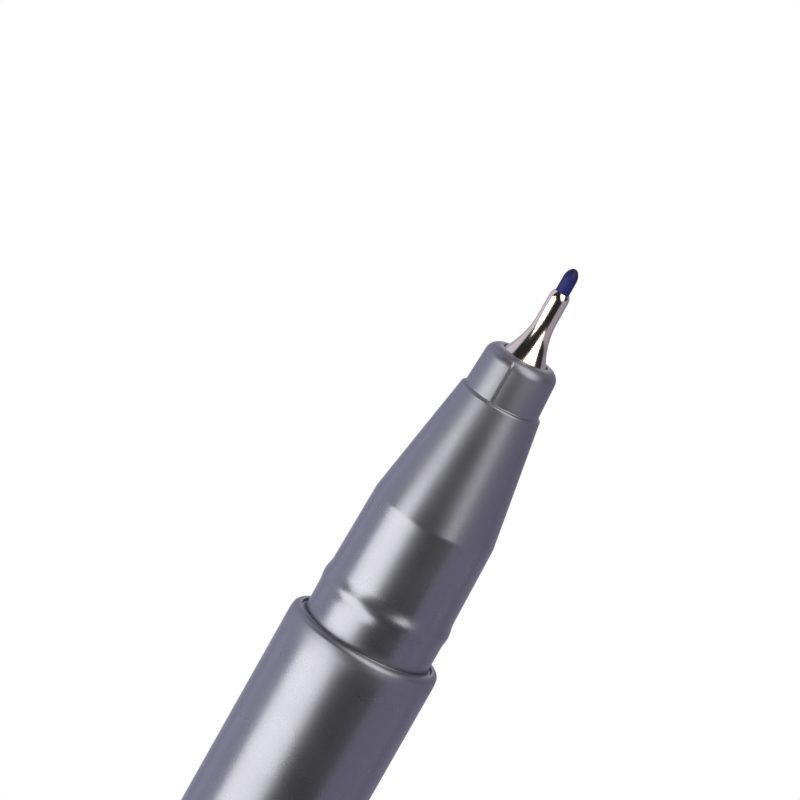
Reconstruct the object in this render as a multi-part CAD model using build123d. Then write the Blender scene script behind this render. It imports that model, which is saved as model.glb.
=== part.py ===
from build123d import *
import os
from math import sqrt

# A fineliner pen that stands on its posted cap, point upwards, in millimetres.
# Z is the axis of the pen and Z = 0 is the flat end of the cap.

# Nib: a porous plastic rod with a domed point
nib_radius = 0.445
nib_dome_length = 0.69
nib_tip_radius = 0.30
nib_exposed_length = 1.63
nib_tail_length = 9.0
nib_point_length = 1.2
nib_point_radius = 0.15

# Tip sleeve: a drawn metal tube, crimped onto the nib and flared at its base
sleeve_tube_radius = 0.615
sleeve_straight_length = 1.98
sleeve_crimp_length = 0.66
sleeve_lip_land = 0.03
sleeve_flare_radius = 4.6
sleeve_body_radius = 1.43
sleeve_body_length = 4.2
sleeve_sink = 0.10

# Nib holder: a collar in front of the cone, on a stem inside the front section
collar_length = 3.03
collar_front_radius = 2.33
collar_back_radius = 2.486
collar_rounding = 0.73
holder_mouth_gap = 0.05
holder_mouth_depth = 0.40
holder_stem_radius = 2.05
holder_stem_length = 13.2
air_groove_width = 0.5
air_groove_depth = 0.25
air_groove_count = 3

# Front section: cone, grip, snap bead, neck and shoulder, on a spigot inside the barrel
cone_length = 8.33
cone_front_radius = 2.663
cone_edge_rounding = 0.16
grip_front_radius = 4.033
grip_length = 5.47
grip_back_radius = 4.149
grip_crease_rounding = 2.0
bead_radius = 4.295
bead_front_length = 0.50
bead_crest_length = 0.25
bead_back_length = 0.55
bead_rounding = 1.0
bead_foot_rounding = 0.8
neck_radius = 4.213
neck_length = 1.75
neck_foot_rounding = 0.20
shoulder_width = 0.24
shoulder_sink = 0.03
shoulder_seat_depth = 0.5
spigot_length = 9.0
spigot_chamfer = 0.35

# Barrel: a plain tube with a rounded lip and inner ribs that hold the reservoir
barrel_length = 88.0
barrel_radius = 5.0
barrel_wall = 1.1
barrel_lip_rounding = 0.43
barrel_lip_inner_rounding = 0.03
barrel_lip_taper = 0.09
barrel_lip_taper_length = 0.60
barrel_lip_taper_rounding = 3.0
barrel_tail_rounding = 0.25
barrel_rib_width = 0.7
barrel_rib_count = 6
barrel_rib_end_gap = 1.0

# Ink reservoir: a fibre core in a film wrap
film_radius = 3.3
film_thickness = 0.12

# Tail plug: a skirt inside the barrel and the spigot that the cap is posted on
plug_skirt_length = 8.0
plug_bore_radius = 2.9
plug_spigot_length = 10.0
plug_spigot_rounding = 0.8
plug_end_wall = 1.2

# Cap: shell, crown, clip and inner seal
cap_length = 38.0
cap_mouth_rounding = 0.25
cap_bead_clearance = 0.10
cap_rib_clearance = 0.04
cap_rib_width = 0.6
cap_rib_length = 7.0
cap_rib_setback = 1.2
cap_rib_count = 6
crown_thickness = 2.0
crown_rounding = 0.8
crown_skirt_length = 4.0
crown_skirt_wall = 0.6
crown_boss_radius = 1.5
crown_boss_share = 0.78
crown_vent_width = 0.7
crown_vent_arc = 40.0
crown_vent_count = 3
clip_width = 3.4
clip_thickness = 0.5
clip_length = 31.0
clip_stand_off = 1.3
clip_bend_radius = 1.0
clip_heel_radius = 3.0
clip_lead_length = 2.6
clip_lead_rise = 0.9
clip_tip_rounding = 1.2
clip_cap_gap = 0.08
clip_tab_reach = 0.5
seal_wall = 0.6
seal_stem_wall = 0.8
seal_tip_share = 0.27
seal_contact_share = 0.25
seal_lead_chamfer = 0.3

# Fits
fit_clearance = 0.02
nib_clearance = 0.015
reservoir_end_gap = 0.1
cap_stop_gap = 0.05
cut_overrun = 1.0

# Heights along the axis, from the foot of the cap to the point of the nib
flare_rise = sleeve_body_radius - sleeve_tube_radius
flare_length = sqrt(sleeve_flare_radius**2 - (sleeve_flare_radius - flare_rise) ** 2)
sleeve_exposed_length = sleeve_straight_length + flare_length - sleeve_sink
barrel_tail_z = cap_length + cap_stop_gap
rim_z = barrel_tail_z + barrel_length
bead_back_z = rim_z + neck_length
bead_z = bead_back_z + bead_back_length
bead_crest_z = bead_z + bead_crest_length
bead_front_z = bead_crest_z + bead_front_length
crease_z = bead_front_z + grip_length
cone_z = crease_z + cone_length
collar_z = cone_z + collar_length
sleeve_mouth_z = collar_z + sleeve_exposed_length
nib_z = sleeve_mouth_z + nib_exposed_length
stem_end_z = cone_z - holder_stem_length
reservoir_top_z = stem_end_z - reservoir_end_gap
reservoir_foot_z = barrel_tail_z + plug_skirt_length + reservoir_end_gap
shoulder_z = rim_z - shoulder_sink
seat_z = rim_z - shoulder_seat_depth
spigot_end_z = seat_z - spigot_length

# What the closed cap leaves beyond the point is shared by the seal's room and its stem
cap_spare = barrel_tail_z - crown_thickness - (nib_z - rim_z)
seal_floor_z = crown_thickness + cap_spare * (1 - seal_tip_share)
seal_foot_z = seal_floor_z - seal_wall
boss_z = crown_thickness + (seal_foot_z - crown_thickness) * crown_boss_share

# Radii that follow from what fits in what
nib_hole_radius = nib_radius + nib_clearance
barrel_bore_radius = barrel_radius - barrel_wall
shoulder_radius = neck_radius + shoulder_width
pocket_radius = film_radius + fit_clearance
cap_bore_radius = bead_radius + cap_bead_clearance
crown_skirt_radius = cap_bore_radius - fit_clearance
crown_bore_radius = crown_skirt_radius - crown_skirt_wall
clip_tab_x = crown_bore_radius - clip_tab_reach


def turned(*corners):
    # Corners are (radius, height, rounding), in order round the outline
    points = [(radius, height) for radius, height, rounding in corners]
    roundings = [rounding for radius, height, rounding in corners]
    outline = FilletPolyline(*points, radius=roundings, close=True)
    return revolve(Plane.XZ * make_face(outline), Axis.Z)


def bored(radius, low_z, high_z):
    return Pos(0, 0, low_z) * Cylinder(
        radius, high_z - low_z, align=(Align.CENTER, Align.CENTER, Align.MIN)
    )


def radial_bars(inner_radius, outer_radius, width, low_z, high_z, count):
    # Bars of one size, spread evenly round the axis
    bar = Pos(inner_radius, 0, low_z) * Box(
        outer_radius - inner_radius,
        width,
        high_z - low_z,
        align=(Align.MIN, Align.CENTER, Align.MIN),
    )
    return [turn * bar for turn in PolarLocations(0, count)]


def make_nib():
    # The dome is a small round tip that runs smoothly into a longer flank
    dome_z = nib_z - nib_dome_length
    foot_z = reservoir_top_z - nib_tail_length
    tip_z = nib_dome_length - nib_tip_radius
    flank_radius = (nib_radius**2 + tip_z**2 - nib_tip_radius**2) / (2 * (nib_radius - nib_tip_radius))
    tip_share = nib_tip_radius / (flank_radius - nib_tip_radius)
    join = (
        (flank_radius - nib_radius) * tip_share,
        dome_z + tip_z * (1 + tip_share),
    )
    tip = RadiusArc((0, nib_z), join, nib_tip_radius)
    flank = RadiusArc(join, (nib_radius, dome_z), flank_radius)
    rod = Polyline(
        (nib_radius, dome_z),
        (nib_radius, foot_z + nib_point_length),
        (nib_point_radius, foot_z),
        (0, foot_z),
        (0, nib_z),
    )
    return revolve(Plane.XZ * make_face(tip + flank + rod), Axis.Z)


def make_tip_sleeve():
    # The inside of the flare runs parallel to the outside, one wall further in
    wall = sleeve_tube_radius - nib_hole_radius
    flare_top_z = sleeve_mouth_z - sleeve_straight_length
    flare_foot_z = flare_top_z - flare_length
    foot_z = flare_foot_z - sleeve_body_length
    inner_radius = sleeve_body_radius - wall
    inner_arc_radius = sleeve_flare_radius + wall
    inner_length = sqrt(inner_arc_radius**2 - (inner_arc_radius - flare_rise) ** 2)
    inner_foot_z = flare_top_z - inner_length
    lip_radius = nib_hole_radius + sleeve_lip_land
    crimp_z = sleeve_mouth_z - sleeve_crimp_length
    crimp_rise = sleeve_tube_radius - lip_radius
    crimp_radius = (sleeve_crimp_length**2 + crimp_rise**2) / (2 * crimp_rise)
    crimp = RadiusArc((lip_radius, sleeve_mouth_z), (sleeve_tube_radius, crimp_z), crimp_radius)
    tube = Line((sleeve_tube_radius, crimp_z), (sleeve_tube_radius, flare_top_z))
    flare = RadiusArc(
        (sleeve_tube_radius, flare_top_z),
        (sleeve_body_radius, flare_foot_z),
        -sleeve_flare_radius,
    )
    body = Polyline(
        (sleeve_body_radius, flare_foot_z),
        (sleeve_body_radius, foot_z),
        (inner_radius, foot_z),
        (inner_radius, inner_foot_z),
    )
    inner_flare = RadiusArc(
        (inner_radius, inner_foot_z), (nib_hole_radius, flare_top_z), inner_arc_radius
    )
    mouth = Polyline(
        (nib_hole_radius, flare_top_z),
        (nib_hole_radius, sleeve_mouth_z),
        (lip_radius, sleeve_mouth_z),
    )
    outline = crimp + tube + flare + body + inner_flare + mouth
    return revolve(Plane.XZ * make_face(outline), Axis.Z)


def make_nib_holder():
    sleeve_foot_z = collar_z - sleeve_sink - sleeve_body_length
    socket_radius = sleeve_body_radius + fit_clearance
    mouth_radius = sleeve_body_radius + holder_mouth_gap
    mouth_z = collar_z - holder_mouth_depth
    stem_radius = holder_stem_radius - fit_clearance
    holder = turned(
        (nib_hole_radius, stem_end_z, 0),
        (stem_radius, stem_end_z, 0),
        (stem_radius, cone_z, 0),
        (collar_back_radius, cone_z, 0),
        (collar_front_radius, collar_z, collar_rounding),
        (mouth_radius, collar_z, 0),
        (mouth_radius, mouth_z, 0),
        (socket_radius, mouth_z, 0),
        (socket_radius, sleeve_foot_z, 0),
        (nib_hole_radius, sleeve_foot_z, 0),
    )
    # Air goes back past the stem as ink runs out
    grooves = radial_bars(
        stem_radius - air_groove_depth,
        stem_radius + cut_overrun,
        air_groove_width,
        stem_end_z - cut_overrun,
        cone_z,
        air_groove_count,
    )
    return holder - grooves


def make_front_section():
    spigot_radius = barrel_bore_radius - fit_clearance
    return turned(
        (pocket_radius, spigot_end_z, 0),
        (spigot_radius - spigot_chamfer, spigot_end_z, 0),
        (spigot_radius, spigot_end_z + spigot_chamfer, 0),
        (spigot_radius, seat_z, 0),
        (shoulder_radius, seat_z, 0),
        (shoulder_radius, shoulder_z, 0),
        (neck_radius, shoulder_z, neck_foot_rounding),
        (neck_radius, bead_back_z, bead_foot_rounding),
        (bead_radius, bead_z, bead_rounding),
        (bead_radius, bead_crest_z, bead_rounding),
        (grip_back_radius, bead_front_z, bead_foot_rounding),
        (grip_front_radius, crease_z, grip_crease_rounding),
        (cone_front_radius, cone_z, cone_edge_rounding),
        (holder_stem_radius, cone_z, 0),
        (holder_stem_radius, stem_end_z, 0),
        (pocket_radius, stem_end_z, 0),
    )


def make_barrel():
    # The lip narrows a little before its rounding, and the section's shoulder sits inside it
    seat_radius = shoulder_radius + fit_clearance
    tube = turned(
        (barrel_bore_radius, barrel_tail_z, 0),
        (barrel_radius, barrel_tail_z, barrel_tail_rounding),
        (barrel_radius, rim_z - barrel_lip_taper_length, barrel_lip_taper_rounding),
        (barrel_radius - barrel_lip_taper, rim_z, barrel_lip_rounding),
        (seat_radius, rim_z, barrel_lip_inner_rounding),
        (seat_radius, seat_z, 0),
        (barrel_bore_radius, seat_z, 0),
    )
    ribs = radial_bars(
        pocket_radius,
        (barrel_bore_radius + barrel_radius) / 2,
        barrel_rib_width,
        barrel_tail_z + plug_skirt_length + barrel_rib_end_gap,
        spigot_end_z - barrel_rib_end_gap,
        barrel_rib_count,
    )
    return tube + ribs


def make_ink_reservoir():
    core_radius = film_radius - film_thickness - fit_clearance
    core = bored(core_radius, reservoir_foot_z, reservoir_top_z)
    hole_foot_z = reservoir_top_z - nib_tail_length - nib_clearance
    nib_hole = bored(nib_hole_radius, hole_foot_z, reservoir_top_z + cut_overrun)
    return core - nib_hole


def make_reservoir_film():
    inner_radius = film_radius - film_thickness
    return turned(
        (inner_radius, reservoir_foot_z, 0),
        (film_radius, reservoir_foot_z, 0),
        (film_radius, reservoir_top_z, 0),
        (inner_radius, reservoir_top_z, 0),
    )


def make_tail_plug():
    skirt_radius = barrel_bore_radius - fit_clearance
    foot_z = barrel_tail_z - plug_spigot_length
    return turned(
        (0, foot_z, 0),
        (neck_radius, foot_z, plug_spigot_rounding),
        (neck_radius, barrel_tail_z, 0),
        (skirt_radius, barrel_tail_z, 0),
        (skirt_radius, barrel_tail_z + plug_skirt_length, 0),
        (plug_bore_radius, barrel_tail_z + plug_skirt_length, 0),
        (plug_bore_radius, foot_z + plug_end_wall, 0),
        (0, foot_z + plug_end_wall, 0),
    )


def clip_slot():
    # The notch through the shell and the crown's skirt that takes the clip's tab
    return Pos(clip_tab_x, 0, crown_thickness - cut_overrun) * Box(
        barrel_radius - clip_tab_x + cut_overrun,
        clip_width + 2 * fit_clearance,
        clip_thickness + fit_clearance + cut_overrun,
        align=(Align.MIN, Align.CENTER, Align.MIN),
    )


def make_cap_shell():
    tube = turned(
        (cap_bore_radius, crown_thickness, 0),
        (barrel_radius, crown_thickness, 0),
        (barrel_radius, cap_length, cap_mouth_rounding),
        (cap_bore_radius, cap_length, 0),
    )
    rib_top_z = cap_length - cap_rib_setback
    ribs = radial_bars(
        neck_radius + cap_rib_clearance,
        (cap_bore_radius + barrel_radius) / 2,
        cap_rib_width,
        rib_top_z - cap_rib_length,
        rib_top_z,
        cap_rib_count,
    )
    return tube + ribs - clip_slot()


def make_cap_crown():
    skirt_z = crown_thickness + crown_skirt_length
    crown = turned(
        (0, 0, 0),
        (barrel_radius, 0, crown_rounding),
        (barrel_radius, crown_thickness, 0),
        (crown_skirt_radius, crown_thickness, 0),
        (crown_skirt_radius, skirt_z, 0),
        (crown_bore_radius, skirt_z, 0),
        (crown_bore_radius, crown_thickness, 0),
        (crown_boss_radius, crown_thickness, 0),
        (crown_boss_radius, boss_z, 0),
        (0, boss_z, 0),
    )
    seat_radius = crown_boss_radius + fit_clearance + seal_stem_wall
    vent_radius = (seat_radius + crown_bore_radius) / 2
    vent_line = CenterArc((0, 0), vent_radius, -crown_vent_arc / 2, crown_vent_arc)
    vent = extrude(
        Pos(0, 0, -cut_overrun) * SlotArc(vent_line, crown_vent_width),
        crown_thickness + 2 * cut_overrun,
    )
    vents = [turn * Rot(0, 0, 180) * vent for turn in PolarLocations(0, crown_vent_count)]
    slot = clip_slot() & bored(barrel_radius, crown_thickness, skirt_z)
    return crown - vents - slot


def make_cap_clip():
    # The strip's middle line: tab, bend, arm, heel at the cap's side, then the lead-in
    half = clip_thickness / 2
    tab_z = crown_thickness + half
    arm_x = barrel_radius + clip_stand_off + half
    heel_x = barrel_radius + clip_cap_gap + half
    tip_z = crown_thickness + clip_length
    heel_z = tip_z - clip_lead_length
    line = FilletPolyline(
        (clip_tab_x, tab_z),
        (arm_x, tab_z),
        (heel_x, heel_z),
        (heel_x + clip_lead_rise, tip_z),
        radius=[clip_bend_radius, clip_heel_radius],
    )
    path = Plane.XZ * line
    section = Plane(path @ 0, x_dir=(0, 1, 0), z_dir=path % 0) * Rectangle(clip_width, clip_thickness)
    strip = sweep(section, path=path)
    tip_face = strip.faces().sort_by(Axis.Z)[-1]
    tip_corners = tip_face.edges().sort_by(SortBy.LENGTH)[:2]
    return fillet(tip_corners, clip_tip_rounding)


def make_cap_seal():
    # With the cap on the point, the cup's mouth closes on the cone
    contact_z = cone_z - cone_length * seal_contact_share
    contact_rise = (grip_front_radius - cone_front_radius) * seal_contact_share
    cup_radius = cone_front_radius + contact_rise
    mouth_z = barrel_tail_z - (contact_z - rim_z)
    socket_radius = crown_boss_radius + fit_clearance
    stem_radius = socket_radius + seal_stem_wall
    return turned(
        (socket_radius, crown_thickness, 0),
        (stem_radius, crown_thickness, 0),
        (stem_radius, seal_foot_z, 0),
        (cup_radius + seal_wall, seal_foot_z, seal_wall),
        (cup_radius + seal_wall, mouth_z, 0),
        (cup_radius + seal_lead_chamfer, mouth_z, 0),
        (cup_radius, mouth_z - seal_lead_chamfer, 0),
        (cup_radius, seal_floor_z, 0),
        (0, seal_floor_z, 0),
        (0, seal_foot_z, 0),
        (socket_radius, seal_foot_z, 0),
    )


parts = {
    "nib": make_nib,
    "tip_sleeve": make_tip_sleeve,
    "nib_holder": make_nib_holder,
    "front_section": make_front_section,
    "barrel": make_barrel,
    "ink_reservoir": make_ink_reservoir,
    "reservoir_film": make_reservoir_film,
    "tail_plug": make_tail_plug,
    "cap_shell": make_cap_shell,
    "cap_crown": make_cap_crown,
    "cap_clip": make_cap_clip,
    "cap_seal": make_cap_seal,
}

os.makedirs("parts", exist_ok=True)
for name, make in parts.items():
    export_step(make(), f"parts/{name}.step")
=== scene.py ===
import bpy
import bmesh
from math import radians, degrees, sin, cos, tan, acos, atan2, ceil, pi, hypot
from mathutils import Vector, Matrix, Quaternion


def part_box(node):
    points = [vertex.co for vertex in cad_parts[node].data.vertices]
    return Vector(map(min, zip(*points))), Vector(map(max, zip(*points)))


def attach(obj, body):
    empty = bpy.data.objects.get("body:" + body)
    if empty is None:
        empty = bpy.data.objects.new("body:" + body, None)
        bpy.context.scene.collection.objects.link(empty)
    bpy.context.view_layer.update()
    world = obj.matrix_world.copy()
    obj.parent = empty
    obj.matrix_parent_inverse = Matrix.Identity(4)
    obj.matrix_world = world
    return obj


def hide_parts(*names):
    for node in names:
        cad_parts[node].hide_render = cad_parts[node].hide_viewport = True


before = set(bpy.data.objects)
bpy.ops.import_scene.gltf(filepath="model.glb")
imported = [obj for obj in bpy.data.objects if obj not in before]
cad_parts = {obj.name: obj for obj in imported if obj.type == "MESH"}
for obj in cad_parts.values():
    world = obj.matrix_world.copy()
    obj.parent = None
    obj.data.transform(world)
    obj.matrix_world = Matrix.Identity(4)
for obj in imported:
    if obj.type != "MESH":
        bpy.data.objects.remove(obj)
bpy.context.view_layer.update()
scene = bpy.context.scene
mm = 0.001
arcStep = radians(3)  # how finely a rounding is drawn
fewestSteps = 2  # of even a slight rounding
noGap = 1e-7  # points closer than this are one point


# Drawing an outline and spinning it

def startOutline(name, radius, height):  # one point in the XZ plane, in edit mode
    bpy.ops.object.select_all(action="DESELECT")
    bpy.ops.mesh.primitive_plane_add(size=mm, location=(0, 0, 0))
    piece = bpy.context.object
    piece.name = name
    piece.data.name = name
    bpy.ops.object.mode_set(mode="EDIT")
    bpy.ops.mesh.select_mode(type="VERT")
    bpy.ops.mesh.select_all(action="SELECT")
    bpy.ops.mesh.merge(type="CENTER")
    bpy.ops.transform.translate(value=(radius, 0, height))
    return piece


def lineTo(here, there):
    if (there - here).length > noGap:
        bpy.ops.mesh.extrude_region_move(TRANSFORM_OT_translate={"value": there - here})
    return there


def roundCorner(here, ahead, rounding, turn, side):  # arc from here, on the side that the line turns to
    centre = here + Vector((ahead.z, 0, -ahead.x)) * rounding * side
    steps = max(fewestSteps, ceil(turn / arcStep))
    angle = -turn * side  # the spin tool turns left-handed
    bpy.ops.mesh.spin(steps=steps, angle=angle, center=centre, axis=(0, 1, 0))
    return centre + Matrix.Rotation(turn * side, 3, "Y") @ (here - centre)


def drawOutline(name, corners, base, closed=True):  # corners: radius, height above base and rounding in mm
    points = [Vector((r * mm, 0, base + h * mm)) for r, h, rounding in corners]
    piece = startOutline(name, points[0].x, points[0].z)
    here = points[0]
    last = len(points) - 1
    for i in range(1, last + 1):
        rounding = corners[i][2] * mm
        if rounding == 0 or (i == last and not closed):
            here = lineTo(here, points[i])
            continue
        ahead = (points[i] - points[i - 1]).normalized()
        after = (points[(i + 1) % len(points)] - points[i]).normalized()
        turn = ahead.angle(after)
        side = 1 if ahead.cross(after).y > 0 else -1
        here = lineTo(here, points[i] - ahead * rounding * tan(turn / 2))
        here = roundCorner(here, ahead, rounding, turn, side)
    if closed:
        lineTo(here, points[0])
    bpy.ops.mesh.select_all(action="SELECT")
    bpy.ops.mesh.remove_doubles(threshold=noGap)
    return piece


def closeSkin():  # one skin that faces outwards
    bpy.ops.mesh.select_all(action="SELECT")
    bpy.ops.mesh.remove_doubles(threshold=noGap)
    bpy.ops.mesh.normals_make_consistent(inside=False)


def spinOutline(sides):  # all round the axis
    bpy.ops.mesh.select_all(action="SELECT")
    bpy.ops.mesh.spin(steps=sides, angle=2 * pi, center=(0, 0, 0), axis=(0, 0, 1))
    closeSkin()
    bpy.ops.mesh.select_all(action="DESELECT")


def pick(piece, kind, wanted):  # VERT or FACE, by its radius and height in mm and its angle in degrees
    bpy.ops.mesh.select_mode(type=kind)
    bpy.ops.mesh.select_all(action="DESELECT")
    mesh = bmesh.from_edit_mesh(piece.data)
    for part in mesh.faces if kind == "FACE" else mesh.verts:
        middle = part.calc_center_median() if kind == "FACE" else part.co
        angle = degrees(atan2(middle.y, middle.x)) % 360
        part.select = wanted(hypot(middle.x, middle.y) / mm, middle.z / mm, angle)
    mesh.select_flush(True)
    bmesh.update_edit_mesh(piece.data)


def apart(angle, other):  # degrees between two directions
    return abs((angle - other + 180) % 360 - 180)


def choose(piece):  # selected alone, and active
    bpy.ops.object.select_all(action="DESELECT")
    piece.select_set(True)
    bpy.context.view_layer.objects.active = piece


def useModifier(piece, kind, **settings):
    choose(piece)
    modifier = piece.modifiers.new(kind.title(), kind)
    for key, value in settings.items():
        setattr(modifier, key, value)
    bpy.ops.object.modifier_apply(modifier=modifier.name)


def finishPiece(piece, body, node, material, sharp=32):  # edges that bend by more degrees stay sharp
    bpy.ops.object.mode_set(mode="OBJECT")
    choose(piece)
    bpy.ops.object.shade_smooth_by_angle(angle=radians(sharp))
    useModifier(piece, "WEIGHTED_NORMAL", keep_sharp=True)
    piece.data.materials.clear()
    piece.data.materials.append(material)
    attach(piece, body)
    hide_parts(node)
    print("made", piece.name, len(piece.data.polygons), "faces")


def cutBox(piece, low, high):  # takes a box out of a piece, corners in mm
    bpy.ops.object.mode_set(mode="OBJECT")
    bpy.ops.object.select_all(action="DESELECT")
    bpy.ops.mesh.primitive_cube_add(size=1, location=(0, 0, 0))
    cutter = bpy.context.object
    bpy.ops.object.mode_set(mode="EDIT")
    bpy.ops.mesh.select_all(action="SELECT")
    size = [(b - a) * mm for a, b in zip(low, high)]
    bpy.ops.transform.resize(value=size, center_override=(0, 0, 0))
    bpy.ops.transform.translate(value=[(a + b) / 2 * mm for a, b in zip(low, high)])
    bpy.ops.object.mode_set(mode="OBJECT")
    useModifier(piece, "BOOLEAN", object=cutter, operation="DIFFERENCE", solver="EXACT")
    bpy.data.objects.remove(cutter)


# Nodes that the materials share

def addNode(tree, kind, values=None, **settings):
    node = tree.nodes.new(kind)
    for key, value in settings.items():
        setattr(node, key, value)
    for key, value in (values or {}).items():
        node.inputs[key].default_value = value
    return node


def spread(tree, value, low, high, fromLow=0.0, fromHigh=1.0):
    node = addNode(tree, "ShaderNodeMapRange", {1: fromLow, 2: fromHigh, 3: low, 4: high})
    tree.links.new(value, node.inputs[0])
    return node.outputs[0]


def blendColours(tree, mask, low, high):  # each a colour, or what another node gives
    mix = addNode(tree, "ShaderNodeMix", data_type="RGBA")
    for socket, colour in ((mix.inputs[6], low), (mix.inputs[7], high)):
        if isinstance(colour, tuple):
            socket.default_value = (*colour, 1)
        else:
            tree.links.new(colour, socket)
    tree.links.new(mask, mix.inputs[0])
    return mix.outputs[2]


def heightOf(tree, place):
    split = addNode(tree, "ShaderNodeSeparateXYZ")
    tree.links.new(place, split.inputs[0])
    return split.outputs[2]


def levelsAlong(tree, value, stops):  # stops are (place in mm, level), joined by straight lines
    low, high = stops[0][0], stops[-1][0]
    node = addNode(tree, "ShaderNodeValToRGB")
    points = node.color_ramp.elements
    for point, stop in ((points[0], stops[0]), (points[1], stops[-1])):
        point.color = (stop[1], stop[1], stop[1], 1)
    for place, level in stops[1:-1]:
        points.new((place - low) / (high - low)).color = (level, level, level, 1)
    tree.links.new(spread(tree, value, 0.0, 1.0, low * mm, high * mm), node.inputs[0])
    return node.outputs[0]


def newGroup(name, inputs, outputs):
    tree = bpy.data.node_groups.new(name, "ShaderNodeTree")
    for label, kind in inputs:
        tree.interface.new_socket(label, in_out="INPUT", socket_type=kind)
    for label in outputs:
        tree.interface.new_socket(label, in_out="OUTPUT", socket_type="NodeSocketFloat")
    return tree, tree.nodes.new("NodeGroupInput"), tree.nodes.new("NodeGroupOutput")


def makeMouldedSkin():  # fine grain, flecks and faint handling marks of a moulded plastic
    tree, given, made = newGroup(
        "mouldedSkin",
        [("Place", "NodeSocketVector"), ("Grain Scale", "NodeSocketFloat")],
        ["Grain", "Smudge", "Fleck"],
    )
    grain = addNode(tree, "ShaderNodeTexNoise", {"Detail": 3.0, "Roughness": 0.6})
    smudge = addNode(tree, "ShaderNodeTexNoise",
                     {"Scale": 260.0, "Detail": 5.0, "Roughness": 0.55, "Distortion": 0.6})
    fleck = addNode(tree, "ShaderNodeTexVoronoi", feature="F1")
    split = addNode(tree, "ShaderNodeSeparateColor")
    for node in (grain, smudge, fleck):
        tree.links.new(given.outputs["Place"], node.inputs["Vector"])
    for node in (grain, fleck):
        tree.links.new(given.outputs["Grain Scale"], node.inputs["Scale"])
    tree.links.new(fleck.outputs["Color"], split.inputs[0])
    tree.links.new(grain.outputs[0], made.inputs["Grain"])
    tree.links.new(smudge.outputs[0], made.inputs["Smudge"])
    tree.links.new(split.outputs[0], made.inputs["Fleck"])
    return tree


def makeDrawnLines():  # fine lines along the axis, such as a drawing or brushing tool leaves
    tree, given, made = newGroup(
        "drawnLines",
        [("Place", "NodeSocketVector"), ("Line Scale", "NodeSocketFloat"), ("Stretch", "NodeSocketFloat")],
        ["Lines", "Haze"],
    )
    join = addNode(tree, "ShaderNodeCombineXYZ", {0: 1.0, 1: 1.0})
    pull = addNode(tree, "ShaderNodeVectorMath", operation="MULTIPLY")
    lines = addNode(tree, "ShaderNodeTexNoise", {"Detail": 4.0, "Roughness": 0.65})
    haze = addNode(tree, "ShaderNodeTexNoise", {"Scale": 420.0, "Detail": 4.0})
    tree.links.new(given.outputs["Stretch"], join.inputs[2])
    tree.links.new(given.outputs["Place"], pull.inputs[0])
    tree.links.new(join.outputs[0], pull.inputs[1])
    tree.links.new(pull.outputs[0], lines.inputs["Vector"])
    tree.links.new(given.outputs["Line Scale"], lines.inputs["Scale"])
    tree.links.new(given.outputs["Place"], haze.inputs["Vector"])
    tree.links.new(lines.outputs[0], made.inputs["Lines"])
    tree.links.new(haze.outputs[0], made.inputs["Haze"])
    return tree


mouldedSkin = makeMouldedSkin()
drawnLines = makeDrawnLines()
usualRange = {"Smudge": (0.3, 0.7), "Haze": (0.3, 0.7), "Lines": (0.25, 0.75)}  # of what the noise gives


# Materials

def newMaterial(name, values):  # with plain values on the shader's sockets
    material = bpy.data.materials.new(name)
    material.use_nodes = True
    shader = material.node_tree.nodes["Principled BSDF"]
    for socket, value in values.items():
        shader.inputs[socket].default_value = value
    return material


def inside(material):  # its node tree, its shader and the place on the object
    tree = material.node_tree
    place = tree.nodes.new("ShaderNodeTexCoord")
    return tree, tree.nodes["Principled BSDF"], place.outputs["Object"]


def paintShadeAtPoint(tree, place, colour, finish):  # painted shade: goes over to another colour between two heights
    low, high = finish["pointHeights"]
    mask = spread(tree, heightOf(tree, place), 0.0, 1.0, low * mm, high * mm)
    return blendColours(tree, mask, colour, finish["point"])


def addMatt(tree, place, rough, finish):  # more roughness at some heights
    total = addNode(tree, "ShaderNodeMath", operation="ADD")
    tree.links.new(rough, total.inputs[0])
    tree.links.new(levelsAlong(tree, heightOf(tree, place), finish["matt"]), total.inputs[1])
    return total.outputs[0]


# A finish says which output of its node group goes between its two colours, which one between its
# two roughnesses, and which one raises its relief, in metres
def makeMaterial(name, finish):
    material = newMaterial(name, finish.get("shader", {}))
    tree, shader, place = inside(material)
    effect = addNode(tree, "ShaderNodeGroup", finish["texture"], node_tree=finish["group"])
    tree.links.new(place, effect.inputs["Place"])
    colour = blendColours(tree, effect.outputs[finish["colourBy"]], finish["dark"], finish["light"])
    # painted shade at the nib's point, for a finish that lists one
    if "point" in finish:
        colour = paintShadeAtPoint(tree, place, colour, finish)
    tree.links.new(colour, shader.inputs["Base Color"])
    if "rough" in finish:
        by = finish["roughBy"]
        rough = spread(tree, effect.outputs[by], *finish["rough"], *usualRange[by])
        if "matt" in finish:
            rough = addMatt(tree, place, rough, finish)
        tree.links.new(rough, shader.inputs["Roughness"])
    if "relief" in finish:
        bump = addNode(tree, "ShaderNodeBump", {"Strength": 1.0, "Distance": finish["relief"]})
        tree.links.new(effect.outputs[finish["reliefBy"]], bump.inputs["Height"])
        tree.links.new(bump.outputs[0], shader.inputs["Normal"])
    return material


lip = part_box("barrel")[1].z / mm  # height of the barrel's lip
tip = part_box("nib")[1].z / mm  # height of the nib's point

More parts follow.
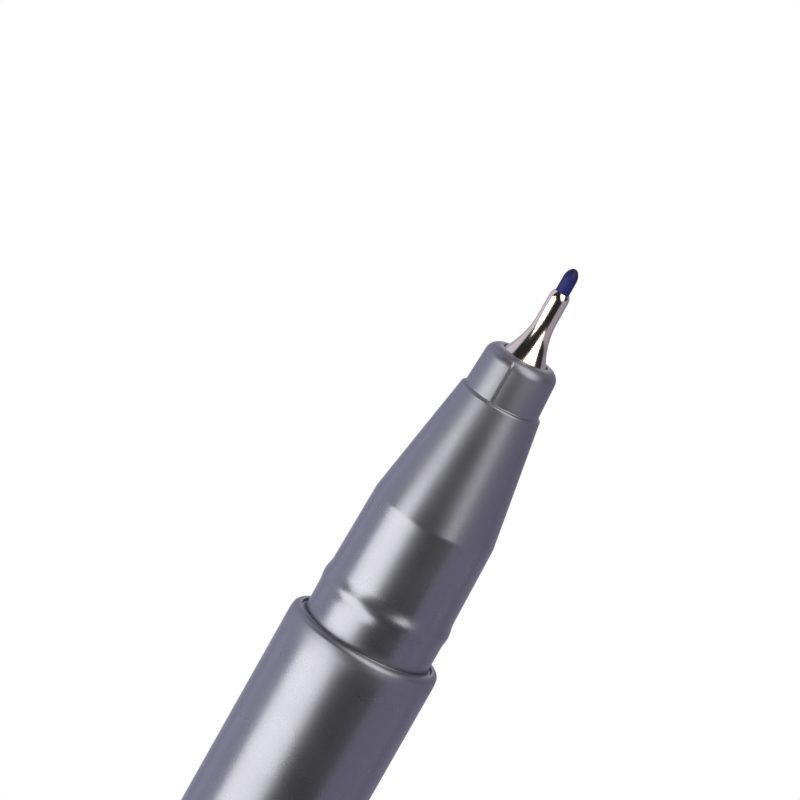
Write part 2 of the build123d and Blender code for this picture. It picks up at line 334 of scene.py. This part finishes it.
silverFinish = {
    "group": mouldedSkin, "texture": {"Grain Scale": 30000.0},
    "dark": (0.197, 0.196, 0.218), "light": (0.229, 0.227, 0.252), "colourBy": "Fleck",  # metal pigment
    "rough": (0.25, 0.31), "roughBy": "Smudge", "relief": 4e-7, "reliefBy": "Grain",
    "shader": {"Metallic": 0.93, "Coat Weight": 1.0, "Coat Roughness": 0.5},  # and a satin coat over it
    "matt": [  # height in mm and the roughness added there
        (lip - 1.85, 0.0), (lip - 0.45, 0.13), (lip + 0.05, 0.13), (lip + 0.65, 0.0),  # round the lip
        (lip + 7.95, 0.0), (lip + 18.95, 0.14),  # up the cone
    ],
}
silverPlastic = makeMaterial("silverPlastic", silverFinish)

sleeveFinish = {
    "group": drawnLines, "texture": {"Line Scale": 14000.0, "Stretch": 0.05},
    "dark": (0.77, 0.685, 0.55), "light": (0.85, 0.755, 0.61), "colourBy": "Haze",
    "rough": (0.11, 0.19), "roughBy": "Lines", "relief": 4e-7, "reliefBy": "Lines",
    "shader": {"Metallic": 1.0},
}
sleeveMetal = makeMaterial("sleeveMetal", sleeveFinish)

nibFinish = {  # ink-soaked porous rod, with pores drawn out along it, and painted shade on its upward-facing point
    "group": drawnLines, "texture": {"Line Scale": 16000.0, "Stretch": 0.25},
    "dark": (0.004, 0.0065, 0.080), "light": (0.008, 0.0125, 0.120), "colourBy": "Lines",
    "point": (0.008, 0.007, 0.040), "pointHeights": (tip - 0.704, tip - 0.054),  # painted shade on the point, which light from the sides leaves darker: it darkens between them
    "rough": (0.45, 0.62), "roughBy": "Haze", "relief": 6e-6, "reliefBy": "Lines",
    "shader": {"Specular IOR Level": 0.30},
}
nibFibre = makeMaterial("nibFibre", nibFinish)

blueFinish = {
    "group": mouldedSkin, "texture": {"Grain Scale": 8000.0},
    "dark": (0.022, 0.036, 0.235), "light": (0.034, 0.056, 0.30), "colourBy": "Smudge",
    "rough": (0.26, 0.36), "roughBy": "Smudge", "relief": 1.5e-6, "reliefBy": "Grain",
}
bluePlastic = makeMaterial("bluePlastic", blueFinish)

clipFinish = {
    "group": drawnLines, "texture": {"Line Scale": 9000.0, "Stretch": 0.02},
    "dark": (0.50, 0.50, 0.51), "light": (0.66, 0.66, 0.67), "colourBy": "Lines",
    "rough": (0.16, 0.30), "roughBy": "Lines", "relief": 1.2e-6, "reliefBy": "Lines",
    "shader": {"Metallic": 1.0},
}
clipSteel = makeMaterial("clipSteel", clipFinish)

sealFinish = {
    "group": mouldedSkin, "texture": {"Grain Scale": 6000.0},
    "dark": (0.70, 0.70, 0.67), "light": (0.80, 0.80, 0.77), "colourBy": "Smudge",
    "rough": (0.42, 0.55), "roughBy": "Smudge", "relief": 2e-6, "reliefBy": "Grain",
}
sealPlastic = makeMaterial("sealPlastic", sealFinish)

fibreFinish = {
    "group": drawnLines, "texture": {"Line Scale": 12000.0, "Stretch": 0.02},
    "dark": (0.012, 0.016, 0.11), "light": (0.05, 0.065, 0.30), "colourBy": "Lines",
    "relief": 2e-5, "reliefBy": "Lines", "shader": {"Roughness": 0.8},
}
inkFibre = makeMaterial("inkFibre", fibreFinish)

filmFinish = {
    "group": drawnLines, "texture": {"Line Scale": 2500.0, "Stretch": 0.2},
    "dark": (0.74, 0.76, 0.80), "light": (0.84, 0.86, 0.90), "colourBy": "Haze",
    "rough": (0.12, 0.24), "roughBy": "Lines", "shader": {"Alpha": 0.35},
}
clearFilm = makeMaterial("clearFilm", filmFinish)
print("materials ready")


# Pen, from the barrel to the point. Heights are from the lowest point of the CAD node

barrelShape = {
    "sides": 240,
    "outline": [
        (3.9, 0, 0), (5.0, 0, 0.25),  # tail edge
        (5.0, 87.38, 3.0), (4.90, 88.0, 0.40), (4.46, 88.0, 0.07),  # rounded lip
        (4.46, 87.5, 0), (3.9, 87.5, 0),  # seat of the section's shoulder
    ],
}


def makeBarrel():
    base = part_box("barrel")[0].z
    piece = drawOutline("barrelTube", barrelShape["outline"], base)
    spinOutline(barrelShape["sides"])
    finishPiece(piece, "pen", "barrel", silverPlastic)


sectionShape = {
    "sides": 240,
    "outline": [
        (3.32, 0, 0), (3.53, 0, 0), (3.88, 0.35, 0), (3.88, 9.0, 0),  # spigot inside the barrel
        (4.44, 9.0, 0), (4.44, 9.33, 0), (4.213, 9.33, 0.16), (4.213, 11.29, 3.0),  # shoulder and neck
        (4.315, 11.97, 1.6), (4.149, 12.69, 3.0),  # snap bead
        (4.033, 18.02, 2.0), (2.663, 26.35, 0.16),  # grip, then the cone
        (2.05, 26.35, 0), (2.05, 13.15, 0), (3.32, 13.15, 0),  # bores for the holder and the reservoir
    ],
}


def makeSection():
    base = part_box("front_section")[0].z
    piece = drawOutline("frontSection", sectionShape["outline"], base)
    spinOutline(sectionShape["sides"])
    finishPiece(piece, "pen", "front_section", silverPlastic)


collarShape = {
    "sides": 240, "seatRadius": 1.5,
    "outline": [
        (0.46, 0, 0), (2.03, 0, 0), (2.03, 13.2, 0),  # stem
        (2.555, 13.2, 0), (2.555, 13.21, 0), (2.486, 13.21, 0.07),  # filleted foot on the cone
        (2.33, 16.23, 0.73), (1.48, 16.23, 0.03),  # rounded front
        (1.48, 16.08, 0), (1.45, 16.08, 0), (1.45, 11.93, 0), (0.46, 11.93, 0),  # seat of the sleeve
    ],
    "partings": (259.5, 79.5),  # mould lines, in degrees from +X
    "partingLow": 13.25, "partingHigh": 16.0,
    "partingDepths": ((-1.5, 0.03), (0.0, 0.07)),  # the groove: degrees from the line, then how far in
}


def makeCollar():
    s = collarShape
    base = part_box("nib_holder")[0].z
    piece = drawOutline("nibCollar", s["outline"], base)
    spinOutline(s["sides"])
    low, high = base / mm + s["partingLow"], base / mm + s["partingHigh"]
    near = 360 / s["sides"] / 4  # picks one row of points and not the next
    for line in s["partings"]:
        for turn, depth in s["partingDepths"]:
            pick(piece, "VERT", lambda r, z, a: r > s["seatRadius"] and low < z < high
                 and apart(a, line + turn) < near)
            bpy.ops.transform.shrink_fatten(value=-depth * mm)
    finishPiece(piece, "pen", "nib_holder", silverPlastic)


sleeveShape = {
    "sides": 160, "tubeRadius": 0.638, "holeRadius": 0.46, "lipRadius": 0.49, "bodyRadius": 1.43,
    "crimpLength": 0.46, "straightLength": 1.78, "bodyLength": 4.2, "flareRadius": 5.4, "sharp": 20,
}


def makeSleeve():
    s = sleeveShape
    wall = s["tubeRadius"] - s["holeRadius"]
    rise = s["bodyRadius"] - s["tubeRadius"]
    flareTurn = acos(1 - rise / s["flareRadius"])
    flareTop = s["bodyLength"] + s["flareRadius"] * sin(flareTurn)
    outerCorner = flareTop - s["flareRadius"] * tan(flareTurn / 2)
    mouth = flareTop + s["straightLength"]
    crimpRise = s["tubeRadius"] - s["lipRadius"]
    crimpRadius = (s["crimpLength"] ** 2 + crimpRise ** 2) / (2 * crimpRise)
    crimpCorner = mouth - s["crimpLength"] + crimpRadius * tan(acos(1 - crimpRise / crimpRadius) / 2)
    innerRadius = s["flareRadius"] + wall
    innerTurn = acos(1 - rise / innerRadius)
    innerCorner = flareTop - innerRadius * tan(innerTurn / 2)
    innerFoot = flareTop - innerRadius * sin(innerTurn)
    corners = [
        (s["holeRadius"], mouth, 0), (s["lipRadius"], mouth, 0),
        (s["tubeRadius"], crimpCorner, crimpRadius),  # crimped mouth
        (s["tubeRadius"], outerCorner, s["flareRadius"]), (s["bodyRadius"], s["bodyLength"], 0),  # flare
        (s["bodyRadius"], 0, 0), (s["bodyRadius"] - wall, 0, 0),
        (s["bodyRadius"] - wall, innerFoot, 0), (s["holeRadius"], innerCorner, innerRadius),
    ]
    piece = drawOutline("tipSleeve", corners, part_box("tip_sleeve")[0].z)
    spinOutline(s["sides"])
    finishPiece(piece, "pen", "tip_sleeve", sleeveMetal, s["sharp"])


nibShape = {
    "sides": 128, "radius": 0.445, "domeLength": 0.69, "tipRadius": 0.30,
    "tailLength": 1.2, "tailRadius": 0.15,  # pointed end inside the reservoir
}


def makeNib():
    s = nibShape
    low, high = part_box("nib")
    length = (high.z - low.z) / mm
    rise = s["domeLength"] - s["tipRadius"]
    flank = (s["radius"] ** 2 + rise ** 2 - s["tipRadius"] ** 2) / (2 * (s["radius"] - s["tipRadius"]))
    turn = atan2(rise, flank - s["radius"])  # where the flank meets the round tip
    corners = [
        (0, 0, 0), (s["tailRadius"], 0, 0), (s["radius"], s["tailLength"], 0),
        (s["radius"], length - s["domeLength"] + flank * tan(turn / 2), flank),
        (s["tipRadius"] * tan((pi / 2 - turn) / 2), length, s["tipRadius"]), (0, length, 0),
    ]
    piece = drawOutline("nibRod", corners, low.z, closed=False)
    spinOutline(s["sides"])
    finishPiece(piece, "pen", "nib", nibFibre)


plugShape = {
    "sides": 200,
    "outline": [
        (0, 0, 0), (4.213, 0, 0.8), (4.213, 10.0, 0),  # spigot that the cap is posted on
        (3.88, 10.0, 0), (3.88, 18.0, 0), (2.9, 18.0, 0), (2.9, 1.2, 0), (0, 1.2, 0),  # skirt and bore
    ],
}


def makePlug():
    piece = drawOutline("tailPlug", plugShape["outline"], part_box("tail_plug")[0].z, closed=False)
    spinOutline(plugShape["sides"])
    finishPiece(piece, "pen", "tail_plug", bluePlastic)


makeBarrel()
makeSection()
makeCollar()
makeSleeve()
makeNib()
makePlug()
print("pen done")


# Cap: shell, crown, clip and seal. Notch, ribs and clip have their heights from the cap's end

notchSize = {  # where the clip's tab goes in
    "inner": 3.275, "outer": 6.0, "half": 1.72, "top": 2.52,
    "shellFoot": 1.0, "crownFoot": 2.0005,  # cut from under the shell, and from just over the crown's wall
}


def cutNotch(piece, foot):
    size = notchSize
    cutBox(piece, (size["inner"], -size["half"], foot), (size["outer"], size["half"], size["top"]))


shellShape = {
    "sides": 180,
    "outline": [
        (4.395, 0, 0), (5.0, 0, 0.06), (5.0, 36.0, 0.25), (4.395, 36.0, 0.10),
        (4.395, 34.8, 0), (4.395, 27.8, 0),  # ends of the inner ribs
    ],
    "ribs": 6, "ribLow": 29.8, "ribHigh": 36.8, "ribRadius": 4.253,
    "ribFoot": 4.45, "ribHalf": 4,  # faces within this radius become ribs, so many degrees to each side
}


def makeShell():
    s = shellShape
    piece = drawOutline("capShell", s["outline"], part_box("cap_shell")[0].z)
    spinOutline(s["sides"])
    step = 360 / s["ribs"]
    pick(piece, "FACE", lambda r, z, a: r < s["ribFoot"] and s["ribLow"] < z < s["ribHigh"]
         and apart(a, step * round(a / step)) < s["ribHalf"])
    bpy.ops.mesh.extrude_region_move()
    shrink = s["ribRadius"] / s["outline"][0][0]
    bpy.ops.transform.resize(value=(shrink, shrink, 1), center_override=(0, 0, 0))
    cutNotch(piece, notchSize["shellFoot"])
    finishPiece(piece, "cap", "cap_shell", silverPlastic)


crownShape = {
    "sides": 180, "radius": 5.0, "rounding": 0.8, "seamRounding": 0.06, "wall": 2.0,
    "skirtOuter": 4.375, "skirtInner": 3.775, "skirtTop": 6.0, "bossRadius": 1.5,
    "ventInner": 2.6975, "ventOuter": 3.3975, "vents": (60, 180, 300), "ventArc": 46,  # in degrees
}


def makeCrown():
    s = crownShape
    low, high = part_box("cap_crown")
    top, wall = (high.z - low.z) / mm, s["wall"]
    corners = [
        (0, 0, 0), (s["ventInner"], 0, 0), (s["ventOuter"], 0, 0), (s["radius"], 0, s["rounding"]),
        (s["radius"], wall, s["seamRounding"]), (s["skirtOuter"], wall, 0),
        (s["skirtOuter"], s["skirtTop"], 0), (s["skirtInner"], s["skirtTop"], 0),
        (s["skirtInner"], wall, 0), (s["ventOuter"], wall, 0), (s["ventInner"], wall, 0),
        (s["bossRadius"], wall, 0), (s["bossRadius"], top, 0), (0, top, 0),
    ]
    piece = drawOutline("capCrown", corners, low.z, closed=False)
    spinOutline(s["sides"])
    for vent in s["vents"]:  # slots right through the end wall
        pick(piece, "FACE", lambda r, z, a: s["ventInner"] < r < s["ventOuter"]
             and apart(a, vent) < s["ventArc"] / 2)
        bpy.ops.mesh.bridge_edge_loops()
    cutNotch(piece, notchSize["crownFoot"])
    finishPiece(piece, "cap", "cap_crown", bluePlastic)


clipShape = {
    "tabX": 3.275, "tabZ": 2.25, "armX": 6.55, "heelX": 5.33, "heelZ": 30.4, "tipX": 6.23, "tipZ": 33.0,
    "bend": 1.0, "heel": 3.0, "width": 3.4, "thickness": 0.5, "tipRounding": 1.2, "tipSegments": 10,
    "edge": 0.06, "edgeSegments": 3, "edgeAngle": 40,  # edges that bend by more degrees are rounded
}


def makeClip():
    s = clipShape
    bends = [(s["tabX"], s["tabZ"], 0), (s["armX"], s["tabZ"], s["bend"]),
             (s["heelX"], s["heelZ"], s["heel"]), (s["tipX"], s["tipZ"], 0)]
    piece = drawOutline("capClip", bends, 0, closed=False)
    bpy.ops.transform.translate(value=(0, -s["width"] / 2 * mm, 0))
    bpy.ops.mesh.extrude_region_move(TRANSFORM_OT_translate={"value": (0, s["width"] * mm, 0)})
    pick(piece, "VERT", lambda r, z, a: z > s["tipZ"] - s["thickness"])  # the tip's two corners
    bpy.ops.mesh.bevel(offset=s["tipRounding"] * mm, segments=s["tipSegments"], affect="VERTICES")
    bpy.ops.object.mode_set(mode="OBJECT")
    useModifier(piece, "SOLIDIFY", thickness=s["thickness"] * mm, offset=0, use_even_offset=True)
    useModifier(piece, "BEVEL", width=s["edge"] * mm, segments=s["edgeSegments"],
                limit_method="ANGLE", angle_limit=radians(s["edgeAngle"]))
    bpy.ops.object.mode_set(mode="EDIT")
    closeSkin()
    finishPiece(piece, "cap", "cap_clip", clipSteel)


sealShape = {
    "sides": 160, "socketRadius": 1.52, "stemRadius": 2.32, "cupRadius": 3.0055, "wall": 0.6,
    "foot": 6.7335, "floor": 7.3335, "mouth": 21.2825, "chamfer": 0.3,
}


def makeSeal():
    s = sealShape
    outer = s["cupRadius"] + s["wall"]
    corners = [
        (0, s["foot"], 0), (s["socketRadius"], s["foot"], 0), (s["socketRadius"], 0, 0),
        (s["stemRadius"], 0, 0), (s["stemRadius"], s["foot"], 0),
        (outer, s["foot"], s["wall"]), (outer, s["mouth"], 0),
        (s["cupRadius"] + s["chamfer"], s["mouth"], 0), (s["cupRadius"], s["mouth"] - s["chamfer"], 0),
        (s["cupRadius"], s["floor"], 0), (0, s["floor"], 0),
    ]
    piece = drawOutline("capSeal", corners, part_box("cap_seal")[0].z, closed=False)
    spinOutline(s["sides"])
    finishPiece(piece, "cap", "cap_seal", sealPlastic)


makeShell()
makeCrown()
makeClip()
makeSeal()
print("cap done")


# Pieces inside the barrel, which stay as they are in the CAD

for node, material in (("ink_reservoir", inkFibre), ("reservoir_film", clearFilm)):
    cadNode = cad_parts[node]
    cadNode.data.materials.clear()
    cadNode.data.materials.append(material)
print("inside done")


# Studio: white tent, pale floor, two softboxes and reflector cards that only gloss sees

studio = {
    "floorDrop": 0.014, "floorRadius": 0.30, "floorSides": 128,  # the drop is room for the cap to come off
    "floorTone": (0.9, 0.9, 0.9), "floorRough": 0.9, "floorFade": (0.7, 0.98),  # shares of the radius
    "tent": 1.0, "fill": 0.35,  # the tent as the camera and gloss see it, and as it lights the rest
    "aim": (0, 0, 0.135),  # middle of what the photograph shows
    "softboxes": [  # azimuth from the camera to its right and height as seen from the pen, in degrees
        {"name": "softboxLeft", "shape": "RECTANGLE", "azimuth": -46.2, "rise": -23.5, "distance": 0.60,
         "width": 0.53, "height": 0.78, "roll": 38, "radiance": 3.6},
        {"name": "softboxRight", "shape": "ELLIPSE", "azimuth": 36, "rise": 47, "distance": 0.72,
         "width": 0.66, "height": 1.36, "roll": 7, "radiance": 2.6},
    ],
    "cards": [  # azimuths in degrees, the rest in metres. Reach is the upper edge's distance, if another
        {"name": "cardFront", "from": -100, "to": 165, "distance": 1.6, "low": -1.6, "high": 3.0,
         "tone": (0.053, 0.047, 0.064)},
        {"name": "cardLeft", "from": -130, "to": -82, "distance": 0.5, "low": -0.6, "high": 1.0,
         "tone": (0.76, 0.74, 1.0)},
        {"name": "cardLeftRear", "from": -170, "to": -130, "distance": 0.5, "low": -0.6, "high": 1.0,
         "tone": (0.46, 0.45, 0.60)},
        {"name": "cardRight", "from": 51, "to": 112, "distance": 0.5, "low": -0.6, "high": 0.24,
         "tone": (0.49, 0.465, 0.64)},
        {"name": "cardRightRear", "from": 112, "to": 172, "distance": 0.5, "low": -0.6, "high": 1.0,
         "tone": (0.34, 0.325, 0.45)},
        {"name": "cardRearLow", "from": 168, "to": 194, "distance": 0.52, "low": -0.6, "high": 0.30,
         "tone": (0.50, 0.48, 0.64)},
        {"name": "cardRoof", "from": -180, "to": 180, "distance": 1.1, "low": 1.9, "high": 1.9,
         "tone": (0.22, 0.21, 0.25), "reach": 0.0},
    ],
    "cardSteps": 24,
}


def direction(azimuth):
    return Vector((sin(radians(azimuth)), -cos(radians(azimuth)), 0))


def makeFloor():
    radius = studio["floorRadius"]
    bpy.ops.object.select_all(action="DESELECT")
    bpy.ops.mesh.primitive_circle_add(vertices=studio["floorSides"], radius=radius, fill_type="NGON",
                                      location=(0, 0, 0))
    floor = bpy.context.object
    floor.name = "floor"
    bpy.ops.object.mode_set(mode="EDIT")
    bpy.ops.mesh.select_all(action="SELECT")
    bpy.ops.transform.translate(value=(0, 0, -studio["floorDrop"]))
    bpy.ops.object.mode_set(mode="OBJECT")
    material = newMaterial("paleFloor", {
        "Base Color": (*studio["floorTone"], 1), "Roughness": studio["floorRough"], "Specular IOR Level": 0.0,
    })
    tree, shader, place = inside(material)
    size = addNode(tree, "ShaderNodeVectorMath", operation="LENGTH")
    tree.links.new(place, size.inputs[0])
    fadeFrom, fadeTo = studio["floorFade"]
    fade = spread(tree, size.outputs["Value"], 1.0, 0.0, radius * fadeFrom, radius * fadeTo)
    tree.links.new(fade, shader.inputs["Alpha"])
    floor.data.materials.append(material)
    floor.visible_glossy = False


def makeSoftbox(box):
    rise = radians(box["rise"])
    away = direction(box["azimuth"]) * cos(rise) + Vector((0, 0, sin(rise)))
    bpy.ops.object.light_add(type="AREA", location=Vector(studio["aim"]) + away * box["distance"])
    lamp = bpy.context.object
    lamp.name = box["name"]
    lamp.rotation_mode = "QUATERNION"
    roll = Quaternion((0, 0, 1), radians(box["roll"]))
    lamp.rotation_quaternion = (-away).to_track_quat("-Z", "Y") @ roll
    lamp.data.shape = box["shape"]
    lamp.data.size = box["width"]
    lamp.data.size_y = box["height"]
    area = box["width"] * box["height"] * (pi / 4 if box["shape"] == "ELLIPSE" else 1)
    lamp.data.energy = box["radiance"] * pi * area
    lamp.visible_camera = False


def makeCard(card):
    start = direction(card["from"]) * card["distance"] + Vector((0, 0, card["low"]))
    end = direction(card["from"]) * card.get("reach", card["distance"]) + Vector((0, 0, card["high"]))
    piece = startOutline(card["name"], start.x, start.z)
    bpy.ops.transform.translate(value=(0, start.y, 0))
    lineTo(start, end)
    bpy.ops.mesh.select_all(action="SELECT")
    turn = radians(card["to"] - card["from"])
    bpy.ops.mesh.spin(steps=studio["cardSteps"], angle=-turn, center=(0, 0, 0), axis=(0, 0, 1))
    bpy.ops.object.mode_set(mode="OBJECT")
    material = newMaterial(card["name"], {
        "Base Color": (*card["tone"], 1), "Roughness": 1.0, "Specular IOR Level": 0.0,
    })
    piece.data.materials.append(material)
    piece.visible_camera = False
    piece.visible_diffuse = False
    piece.visible_shadow = False
    piece.visible_transmission = False


def makeTent():  # white to the camera, and in gloss and glass, and softer as light
    world = bpy.data.worlds.new("whiteTent")
    world.use_nodes = True
    tree = world.node_tree
    sky = tree.nodes["Background"]
    sky.inputs["Color"].default_value = (1, 1, 1, 1)
    path = tree.nodes.new("ShaderNodeLightPath")
    seen = path.outputs["Is Camera Ray"]
    for ray in ("Is Glossy Ray", "Is Transmission Ray"):
        either = addNode(tree, "ShaderNodeMath", operation="MAXIMUM")
        tree.links.new(seen, either.inputs[0])
        tree.links.new(path.outputs[ray], either.inputs[1])
        seen = either.outputs[0]
    tree.links.new(spread(tree, seen, studio["fill"], studio["tent"]), sky.inputs["Strength"])
    scene.world = world


makeFloor()
for box in studio["softboxes"]:
    makeSoftbox(box)
for card in studio["cards"]:
    makeCard(card)
makeTent()
scene.view_settings.view_transform = "Standard"
print("studio ready")


# Camera, from the photograph: the axis leans right, and the point comes towards the camera

cameraView = {
    "lens": 270, "sensor": 36, "clip": (0.01, 10), "elevation": 12.08, "lean": 29.35,
    "pixels": 800, "pixelsPerMm": 16.609,
    "aimDepth": 14.0, "aimPixel": (462.16, 468.13),  # a place on the axis, in mm behind the point
}


def makeCamera():
    c = cameraView
    e, lean = radians(c["elevation"]), radians(c["lean"])
    ahead = Vector((0, cos(e), -sin(e)))
    level = Vector((0, sin(e), cos(e)))
    right = Vector((1, 0, 0)) * cos(lean) + level * sin(lean)
    up = Vector((-1, 0, 0)) * sin(lean) + level * cos(lean)
    aim = Vector((0, 0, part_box("nib")[1].z - c["aimDepth"] * mm))
    centre = (c["pixels"] - 1) / 2
    across = (c["aimPixel"][0] - centre) / c["pixelsPerMm"] * mm
    upwards = (centre - c["aimPixel"][1]) / c["pixelsPerMm"] * mm
    middle = aim - right * across - up * upwards
    distance = c["pixels"] / c["pixelsPerMm"] * mm * c["lens"] / c["sensor"]
    bpy.ops.object.camera_add(location=middle - ahead * distance)
    camera = bpy.context.object
    camera.rotation_mode = "QUATERNION"
    camera.rotation_quaternion = Matrix((right, up, -ahead)).transposed().to_quaternion()
    camera.data.lens = c["lens"]
    camera.data.sensor_width = c["sensor"]
    camera.data.clip_start, camera.data.clip_end = c["clip"]
    scene.camera = camera


makeCamera()
print("camera set")
